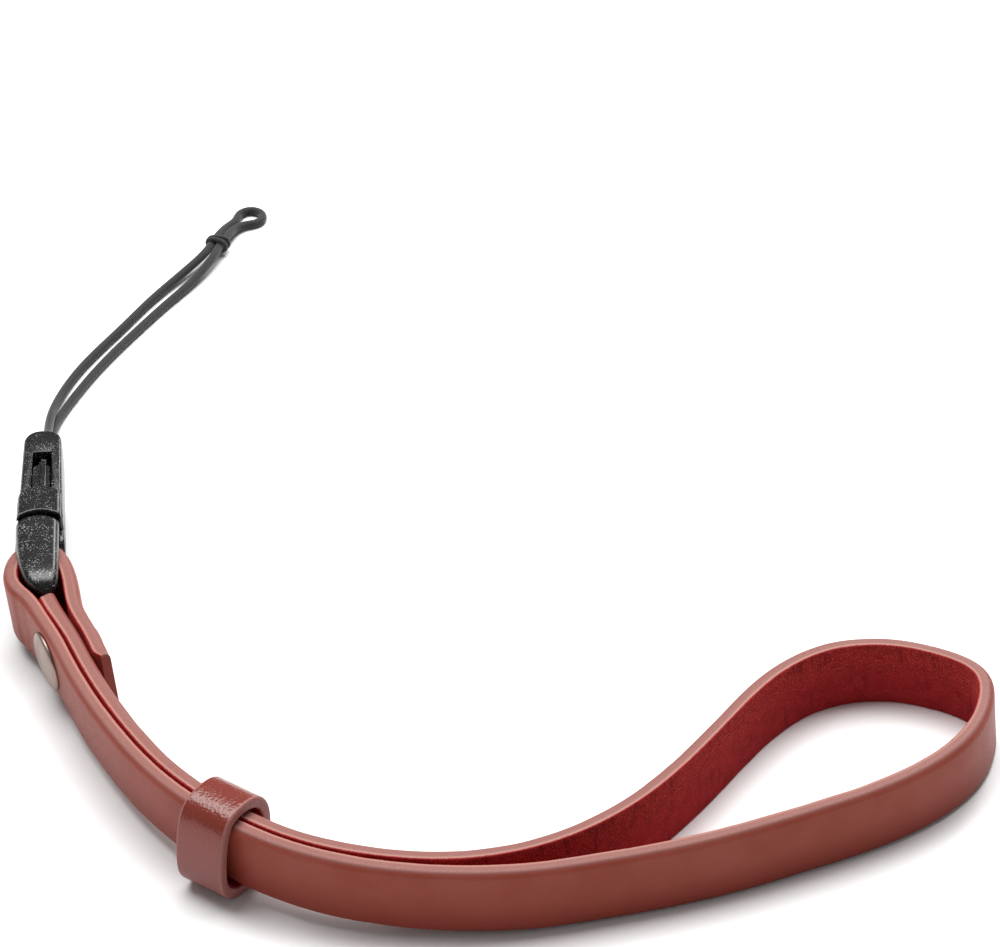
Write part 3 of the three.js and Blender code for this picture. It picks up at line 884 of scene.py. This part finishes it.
class STRAP_OT_band(Operator):
    """Makes the leather band"""

    bl_idname = "strap.band"
    bl_label = "Band"

    def execute(self, context):
        sizes = context.scene.strap.band
        colours = context.scene.strap.colours
        posts = [tuple(v * MM for v in post) for post in BAND_POSTS]
        line = spline_points(posts)
        along = lengths_along(line)
        band = self.straight(sizes, along[-1])
        self.keep_numbers(band, sizes, line, along)
        roughen(band, "band_waves", 5 * MM, 0.1 * MM)
        self.shape_ends(band, sizes, along[-1])
        bend_along(band, posts)
        lean(band, BAND_LEAN, BAND_KEPT * MM)
        smooth(band, 50)
        finishes = [leather_finish(colours), suede_finish(colours)]
        finish_piece(band, "leather", finishes, "strap_band")
        self.lay_suede(band)
        return {"FINISHED"}

    def straight(self, sizes, length):
        """The band before it is bent, its suede side at y = 0 and its grain side at y = -wall."""
        band = block("leather_band", (0, length), (-sizes.wall, 0), (0, sizes.width))
        for y, radius, segments in ((-sizes.wall, sizes.outer_round, 8), (0, sizes.inner_round, 5)):
            round_edges(
                band, radius, segments,
                lambda e, y=y: runs_along(e, 0) and abs(e.verts[0].co.y - y) < 0.01 * MM,
            )
        split_long_edges(band, 0, 9, 69)
        return band

    def keep_numbers(self, band, sizes, line, along):
        """Keeps each point's place along and across the band, and how hard the band bends there."""
        points = points_of(band)
        turn = np.unwrap(np.arctan2(*np.diff(line[:, :2], axis=0).T[::-1]))
        middles = (along[1:] + along[:-1]) / 2
        bend = np.abs(np.gradient(turn, middles)) * MM
        store(band, "along", points[:, 0])
        store(band, "width", points[:, 2])
        store(band, "across", points[:, 2] / sizes.width)
        store(band, "depth", -points[:, 1] / sizes.wall)
        store(band, "bend", np.interp(points[:, 0], middles, bend))

    def shape_ends(self, band, sizes, length):
        """Skives the cut tail on its suede side, and cuts the hidden end at a slant, worn round."""
        points = points_of(band)
        x, y, z = points.T
        inner = 1 + y / sizes.wall  # 1 on the suede side, 0 on the grain side
        puff_length, slant_length, longest = 9 * MM, 3 * MM, 1.8  # longest counts in slants
        y -= inner * sizes.skive * np.clip(1 - x / sizes.skive_length, 0, 1) ** 1.5
        y += inner * sizes.puff * np.clip(1 - (length - x) / puff_length, 0, 1)
        worn = rounded(length - x, sizes.worn_round) / (sizes.width / 2)
        z += (sizes.width / 2 - z) * worn
        x += (longest - inner) * sizes.slant * np.clip(1 - (length - x) / slant_length, 0, 1)
        move_points(band, points)

    def lay_suede(self, band):
        """Gives the faces on the inner side of the band the suede, apart from the skived tail."""
        count = len(band.data.vertices)
        depth, along = np.empty(count, np.float32), np.empty(count, np.float32)
        for name, values in (("depth", depth), ("along", along)):
            band.data.attributes[name].data.foreach_get("value", values)
        skived = bpy.context.scene.strap.band.skive_length
        for face in band.data.polygons:
            corners = list(face.vertices)
            if depth[corners].max() < 0.05 and along[corners].min() > skived:
                face.material_index = 1


# ---------------------------------------------------------------- the keeper


class STRAP_OT_keeper(Operator):
    """Makes the keeper ring"""

    bl_idname = "strap.keeper"
    bl_label = "Keeper"

    def execute(self, context):
        settings = context.scene.strap
        sizes = settings.keeper
        posts = [(across * MM, up * MM, 0) for across, up, _ in OVAL]
        length = lengths_along(spline_points(posts, cyclic=True))[-1]
        ring = self.straight(sizes, length)
        self.thin(ring, sizes, length)
        bend_along(ring, posts, cyclic=True)
        edit(ring, "VERT")
        bpy.ops.mesh.select_all(action="SELECT")
        bpy.ops.mesh.remove_doubles(threshold=0.02 * MM)  # the ring's two ends meet
        face_outwards()
        along = Matrix.Rotation(KEEPER_TURN, 3, "Z") @ heading_near(KEEPER_PLACE)
        across = Vector((-along.y, along.x, 0))
        stand = Matrix((across, Vector((0, 0, 1)), along)).transposed().to_4x4()
        place(ring, Matrix.Translation(Vector((*KEEPER_PLACE, 0)) * MM) @ stand)
        smooth(ring, 60)
        finish_piece(ring, "keeper_leather", [keeper_finish(settings.colours)], "keeper")
        return {"FINISHED"}

    def straight(self, sizes, length):
        """The ring before it is bent, open at both ends."""
        half, wall = sizes.length / 2, sizes.wall / 2
        ring = block("keeper_ring", (0, length), (-wall, wall), (-half, half))
        round_edges(ring, sizes.rim_round, 5, lambda e: runs_along(e, 0))
        edit(ring, "EDGE")
        pick(ring, "faces", lambda f: abs(f.normal.x) > 0.9)
        bpy.ops.mesh.delete(type="FACE")
        bpy.ops.object.mode_set(mode="OBJECT")
        split_long_edges(ring, 2, 23)
        split_long_edges(ring, 0, 11, 13)
        return ring

    def thin(self, ring, sizes, length):
        """Gives each part of the ring its wall, and keeps where its rims and its outside are."""
        points = points_of(ring)
        half, rim = sizes.length / 2, 0.45 * MM
        wall = spline_points([(wall * MM,) * 3 for _, _, wall in OVAL], cyclic=True)[:, 0]
        line = spline_points([(a * MM, u * MM, 0) for a, u, _ in OVAL], cyclic=True)
        along = lengths_along(line)
        store(ring, "rim", np.clip((np.abs(points[:, 2]) - half + rim) / rim, 0, 1))
        store(ring, "outside", np.clip(0.5 + points[:, 1] / sizes.wall, 0, 1))
        up = np.interp(points[:, 0], along, line[:, 1]) / MM
        store(ring, "up", up)
        points[:, 1] *= np.interp(points[:, 0], along, wall) / sizes.wall
        # the rims draw in a little where the leather turns over the top
        points[:, 2] *= 1 - 0.02 * np.clip((up - 9) / 3, 0, 1)
        move_points(ring, points)


# ---------------------------------------------------------------- the rivet


class STRAP_OT_rivet(Operator):
    """Makes the rivet's cap, and its post with the back cap"""

    bl_idname = "strap.rivet"
    bl_label = "Rivet"

    def execute(self, context):
        settings = context.scene.strap
        sizes = settings.rivet
        nickel = nickel_finish(settings.colours)
        wall, clear = settings.band.wall, LAYER_GAP * MM
        near = clear / 2 + wall + 0.15 * MM  # the cap's rim stands just off the leather
        far = -(clear / 2 + 2 * wall + clear)
        level = LIFT * MM + settings.band.width / 2
        cap = self.dome("rivet_dome", sizes.cap_radius, sizes.cap_height, sizes.sides)
        self.seat(cap, near, 1, level)
        finish_piece(cap, "nickel", [nickel], "rivet_cap")
        back = self.dome("rivet_back", sizes.back_radius, sizes.back_height, sizes.sides)
        post = turned("rivet_stem", [(1.0 * MM, -4.6 * MM), (1.0 * MM, 0.1 * MM)], sizes.sides // 2)
        self.seat(join("rivet_back", [back, post]), far, -1, level)
        finish_piece(back, "nickel", [nickel], "rivet_post")
        return {"FINISHED"}

    def dome(self, name, radius, height, sides):
        """A pressed cap with a rolled rim, its flat side at z = 0."""
        arc = [(math.cos(a), math.sin(a)) for a in (math.radians(d) for d in range(12, 90, 6))]
        profile = [(radius - 0.3 * MM, 0.0), (radius - 0.08 * MM, 0.06 * MM), (radius, 0.22 * MM)]
        profile += [(radius * c**0.8, 0.25 * MM + (height - 0.25 * MM) * s) for c, s in arc]
        piece = turned(name, profile, sides)
        smooth(piece, 50)
        return piece

    def seat(self, piece, height, side, level):
        """Turns a piece from +Z to the rivet's axis and puts it on the leather."""
        along = heading_near(RIVET_PLACE)
        axis = Vector((along.y, -along.x, 0))
        turn = (axis * side).to_track_quat("Z", "Y").to_matrix().to_4x4()
        foot = Vector((RIVET_PLACE[0] * MM, RIVET_PLACE[1] * MM, level)) + axis * height
        place(piece, Matrix.Translation(foot) @ turn)
        lean(piece, BAND_LEAN, BAND_KEPT * MM)


# ---------------------------------------------------------------- the buckle


class STRAP_OT_buckle(Operator):
    """Makes the buckle's socket and plug"""

    bl_idname = "strap.buckle"
    bl_label = "Buckle"

    def execute(self, context):
        settings = context.scene.strap
        plastic = plastic_finish(settings.colours)
        spot = Matrix.Translation((BUCKLE_PLACE[0] * MM, BUCKLE_PLACE[1] * MM, 0))
        stand = spot @ Matrix.Rotation(BUCKLE_TURN, 4, "Z")
        sizes = settings.buckle
        halves = {"buckle_socket": self.socket(sizes), "buckle_plug": self.plug(sizes)}
        for node, piece in halves.items():
            lean(piece, BUCKLE_LEAN, sizes.height)
            place(piece, stand)
            smooth(piece, 35)
            finish_piece(piece, "plastic", [plastic], node)
        return {"FINISHED"}

    def turned_over(self, piece, height):
        """A copy of a piece on the buckle's other narrow side."""
        copy = piece.copy()
        copy.data = piece.data.copy()
        bpy.context.scene.collection.objects.link(copy)
        place(copy, Matrix.Translation((0, 0, height)) @ Matrix.Rotation(math.pi, 4, "Y"))
        return copy

    def socket(self, sizes):
        """The moulded shell with its windows, the collars over its mouth and both tongues."""
        mouth, far, high = (v / MM for v in (sizes.mouth, sizes.far_end, sizes.height))
        half, middle, skin = sizes.thickness / MM / 2, high / 2, 1.5
        shell = slab("socket_shell", (-half, half), (mouth, far), (0, high))
        round_edges(
            shell, sizes.corner, 7,
            lambda e: runs_along(e, 2) and e.verts[0].co.y > sizes.mouth + 1 * MM,
        )
        soften(shell, sizes.round, 5)
        split_long_edges(shell, 2, 9)
        cut(shell, slab("hollow", (-1.7, 1.7), (mouth - 1, 31.5), (skin, high - skin)))
        cut(shell, slab("window", (-1.35, 1.35), (22, 30.4), (-1, high + 1)))
        groove = slab("groove", (-4, 4), (15, 17.3), (high - 0.9, 14))
        cut(shell, self.turned_over(groove, sizes.height))
        cut(shell, groove)
        cut(shell, slab("eyelet", (-1.1, 1.1), (31, far + 1), (middle - 1.7, middle + 1.7)))
        soften(shell, 0.1 * MM, 2, 50)
        collar = cushion(
            "collar", COLLAR, 0.9 * MM, 0.15 * MM, (1.3 * MM, 1.0 * MM),
            (0.55 * MM, 0.22 * MM), (36, 30),
        )
        below = self.turned_over(collar, sizes.height + 0.5 * MM)  # flush, where the buckle rests
        whole = join("socket", [shell, collar, below, *self.tongues(sizes)])
        self.swell(whole, sizes)
        return whole

    def swell(self, piece, sizes):
        """Makes the broad sides fuller at half height, and slimmer towards the far end."""
        points = points_of(piece)
        fuller, slimmer = 0.18, 0.13  # shares of the thickness
        taper_start, taper_length = 21 * MM, 13 * MM
        high = points[:, 2] / sizes.height * 2 - 1
        far = np.clip((points[:, 1] - taper_start) / taper_length, 0, 1)
        points[:, 0] *= (1 + fuller * np.clip(1 - high**2, 0, 1)) * (1 - slimmer * far)
        move_points(piece, points)

    def tongues(self, sizes):
        """The steps on both broad sides that reach over the plug."""
        half, middle = sizes.thickness / MM / 2, sizes.height / MM / 2
        tongue = slab("tongue", (half - 0.9, half + 0.05), (13, 17.7), (middle - 4, middle + 4))
        round_edges(tongue, 2.2 * MM, 8, lambda e: runs_along(e, 0) and e.verts[0].co.y < 14 * MM)
        soften(tongue, 0.25 * MM, 3)
        return tongue, self.turned_over(tongue, sizes.height)

    def plug(self, sizes):
        """Rails with dipped noses, the bar, the base and the two prongs."""
        end, top = sizes.mouth / MM - 0.3, sizes.height / MM - 0.8
        rail = cushion("rail", RAIL, 1.3 * MM, 0.22 * MM, (1.05 * MM, 0), (0.75 * MM, 0.35 * MM))
        bar = slab("bar", (-1.3, 1.3), (5.6, 9.6), (0.8, top))
        round_edges(bar, 1.2 * MM, 6, lambda e: runs_along(e, 2))
        base = slab("base", (-1.55, 1.55), (end - 2, end), (0.8, top))
        prong = self.prong(end)
        lower = self.turned_over(rail, sizes.height)
        points = points_of(lower)
        nose_end, shorter = 8.5 * MM, 0.6  # the lower nose keeps within the leather's lower edge
        points[:, 1] += shorter * np.maximum(nose_end - points[:, 1], 0)
        move_points(lower, points)
        other_prong = self.turned_over(prong, sizes.height)
        return join("plug", [rail, lower, bar, base, prong, other_prong])

    def prong(self, end):
        """A springy arm with a ridge and an arrow tip that shows in the window."""
        outline = (
            (-1.25, end - 0.6), (1.1, end - 0.6), (1.1, 28.0), (0.45, 28.5),
            (0.15, 29.9), (-0.15, 30.0), (-0.5, 28.6), (-1.25, 27.9),
        )
        arm = cut_out("arm", [(x * MM, y * MM) for x, y in outline], 9.2 * MM, 11.75 * MM)
        soften(arm, 0.18 * MM, 3)
        ridge = slab("ridge", (-0.25, 0.6), (20, 29), (10.5, 12.3))
        soften(ridge, 0.2 * MM, 3)
        return join("prong", [arm, ridge])


# ---------------------------------------------------------------- the studio


class STRAP_OT_studio(Operator):
    """Makes the pale floor and the soft lights"""

    bl_idname = "strap.studio"
    bl_label = "Floor and lights"

    def execute(self, context):
        scene = context.scene
        scene.view_settings.view_transform = "Standard"
        under = (0, 0, -0.02 * MM)
        floor = start(bpy.ops.mesh.primitive_plane_add, "floor", size=6, location=under)
        pale = Finish("pale_floor", Roughness=0.9, Specular_IOR_Level=0.1)
        grain = pale.noise(0.5, 2)
        pale.set(Base_Color=pale.mix(grain, (0.86, 0.86, 0.86), (0.88, 0.88, 0.88)))
        floor.data.materials.append(pale.material)
        world = bpy.data.worlds.new("studio")
        world.use_nodes = True
        sky = world.node_tree.nodes["Background"].inputs
        sky["Color"].default_value = (1, 1, 1, 1)
        sky["Strength"].default_value = 0.25
        scene.world = world
        # place in metres, width and height in metres, and watts
        self.softbox("overhead", (-0.05, 0.25, 0.75), (0.9, 0.5), 12.0)
        self.softbox("far_right", (0.35, 0.85, 0.55), (0.25, 0.5), 4.0)
        return {"FINISHED"}

    def softbox(self, name, spot, sides, watts):
        """A rectangular lamp that faces the strap."""
        data = bpy.data.lights.new(name, "AREA")
        data.shape = "RECTANGLE"
        data.size, data.size_y = sides
        data.energy = watts
        lamp = bpy.data.objects.new(name, data)
        lamp.location = spot
        lamp.rotation_euler = (-Vector(spot)).to_track_quat("-Z", "Y").to_euler()
        bpy.context.scene.collection.objects.link(lamp)


class STRAP_PT_panel(Panel):
    """Lists the strap's pieces"""

    bl_label = "Wrist strap"
    bl_idname = "STRAP_PT_panel"
    bl_space_type = "VIEW_3D"
    bl_region_type = "UI"
    bl_category = "Wrist strap"

    def draw(self, context):
        for operator in OPERATORS:
            self.layout.operator(operator.bl_idname)
        settings = context.scene.strap
        for group in SETTINGS[:-1]:
            fields = StrapSettings.__annotations__.items()
            name = next(key for key, value in fields if value.keywords["type"] is group)
            box = self.layout.box()
            box.label(text=group.__doc__)
            for key in group.__annotations__:
                box.prop(getattr(settings, name), key)


SETTINGS = (
    BandSizes, KeeperSizes, RivetSizes, BuckleSizes, CordSizes, StrapColours, StudioSettings,
    StrapSettings,
)
OPERATORS = (
    STRAP_OT_camera, STRAP_OT_cord, STRAP_OT_band, STRAP_OT_keeper, STRAP_OT_rivet,
    STRAP_OT_buckle, STRAP_OT_studio,
)


def register():
    for kind in (*SETTINGS, *OPERATORS, STRAP_PT_panel):
        bpy.utils.register_class(kind)
    bpy.types.Scene.strap = PointerProperty(type=StrapSettings)


def unregister():
    del bpy.types.Scene.strap
    for kind in reversed((*SETTINGS, *OPERATORS, STRAP_PT_panel)):
        bpy.utils.unregister_class(kind)


def main():
    register()
    bpy.ops.strap.camera()
    bpy.ops.strap.cord()
    bpy.ops.strap.band()
    bpy.ops.strap.keeper()
    bpy.ops.strap.rivet()
    bpy.ops.strap.buckle()
    bpy.ops.strap.studio()


if __name__ == "__main__":
    main()
